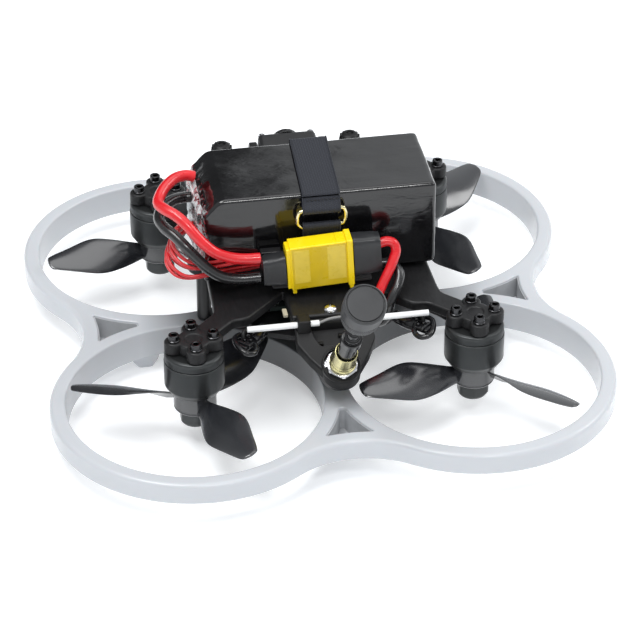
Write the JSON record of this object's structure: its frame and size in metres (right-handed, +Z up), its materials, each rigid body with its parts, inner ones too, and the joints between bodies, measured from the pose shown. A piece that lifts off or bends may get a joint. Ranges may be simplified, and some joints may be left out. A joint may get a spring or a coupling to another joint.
{
  "type": "fpv racing drone",
  "caption": "Small camera drone with ducted three-blade pusher rotors under an X frame, a strapped-on battery, power connector, leaning antenna and tilting nose camera.",
  "frame": {"origin": "middle of the whole drone's footprint, on the ground under its feet", "axes": "+Z up, +Y towards the nose and camera, +X towards the drone's right side"},
  "size_m": [0.1762, 0.179, 0.0767],
  "materials": {
    "guard_plastic": "satin",
    "carbon_black": "satin",
    "black_plastic": "satin",
    "soft_black": "matte",
    "boot_rubber": "satin",
    "motor_metal": "anodised",
    "copper": "enamelled",
    "steel": "polished",
    "gold": "plated",
    "brass": "plain",
    "prop_plastic": "gloss",
    "black_wrap": "gloss",
    "webbing": "woven",
    "grey_rubber": "matte",
    "yellow_plastic": "satin",
    "red_silicone": "satin",
    "black_silicone": "satin",
    "white_tube": "satin",
    "circuit_board": "satin",
    "lens_black": "gloss"
  },
  "bodies": {
    "airframe": {"ring_guard": "guard_plastic", "frame_plate": "carbon_black", "lower_plate": "carbon_black", "guard_post_left": "black_plastic", "guard_post_right": "black_plastic", "guard_post_front": "black_plastic", "guard_post_rear": "black_plastic", "motor_base_front_left": "black_plastic", "motor_base_front_right": "black_plastic", "motor_base_rear_left": "black_plastic", "motor_base_rear_right": "black_plastic", "balance_plug": "black_plastic", "stator_front_left": "copper", "stator_front_right": "copper", "stator_rear_left": "copper", "stator_rear_right": "copper", "antenna_jack_nut": "steel", "motor_lead_front_left": "black_silicone", "motor_lead_front_right": "black_silicone", "motor_lead_rear_left": "black_silicone", "motor_lead_rear_right": "black_silicone", "battery_lead_black": "black_silicone", "drone_lead_black": "black_silicone", "battery_lead_red": "red_silicone", "drone_lead_red": "red_silicone", "balance_lead": "red_silicone", "battery_pad": "grey_rubber", "battery_pack": "black_wrap", "battery_strap": "webbing", "strap_ring": "brass", "battery_connector": "yellow_plastic", "drone_connector": "yellow_plastic", "battery_connector_boot": "boot_rubber", "drone_connector_boot": "boot_rubber", "video_transmitter_board": "circuit_board", "speed_controller_board": "circuit_board", "flight_controller_board": "circuit_board", "antenna_bracket": "soft_black", "antenna_stem": "soft_black", "antenna_cap": "soft_black", "camera_cradle": "soft_black", "antenna_jack": "gold", "receiver_antenna": "white_tube"},
    "rotor_front_left": {"bell_front_left": "motor_metal", "propeller_front_left": "prop_plastic", "lock_nut_front_left": "motor_metal"},
    "rotor_front_right": {"bell_front_right": "motor_metal", "propeller_front_right": "prop_plastic", "lock_nut_front_right": "motor_metal"},
    "rotor_rear_left": {"bell_rear_left": "motor_metal", "propeller_rear_left": "prop_plastic", "lock_nut_rear_left": "motor_metal"},
    "rotor_rear_right": {"bell_rear_right": "motor_metal", "propeller_rear_right": "prop_plastic", "lock_nut_rear_right": "motor_metal"},
    "camera": {"camera_body": "black_plastic", "camera_lens": "lens_black", "camera_screw_left": "steel", "camera_screw_right": "steel"}
  },
  "joints": [
    {"name": "spin_front_left", "type": "hinge", "parent": "airframe", "child": "rotor_front_left", "pos_m": [-0.0435, 0.04493, 0.0251], "axis": [0, 0, 1], "continuous": true},
    {"name": "spin_front_right", "type": "hinge", "parent": "airframe", "child": "rotor_front_right", "pos_m": [0.0435, 0.04493, 0.0251], "axis": [0, 0, 1], "continuous": true},
    {"name": "spin_rear_left", "type": "hinge", "parent": "airframe", "child": "rotor_rear_left", "pos_m": [-0.0435, -0.04207, 0.0251], "axis": [0, 0, 1], "continuous": true},
    {"name": "spin_rear_right", "type": "hinge", "parent": "airframe", "child": "rotor_rear_right", "pos_m": [0.0435, -0.04207, 0.0251], "axis": [0, 0, 1], "continuous": true},
    {"name": "camera_tilt", "type": "hinge", "parent": "airframe", "child": "camera", "pos_m": [0, 0.04743, 0.046], "axis": [1, 0, 0], "range_deg": [-15, 20]}
  ]
}
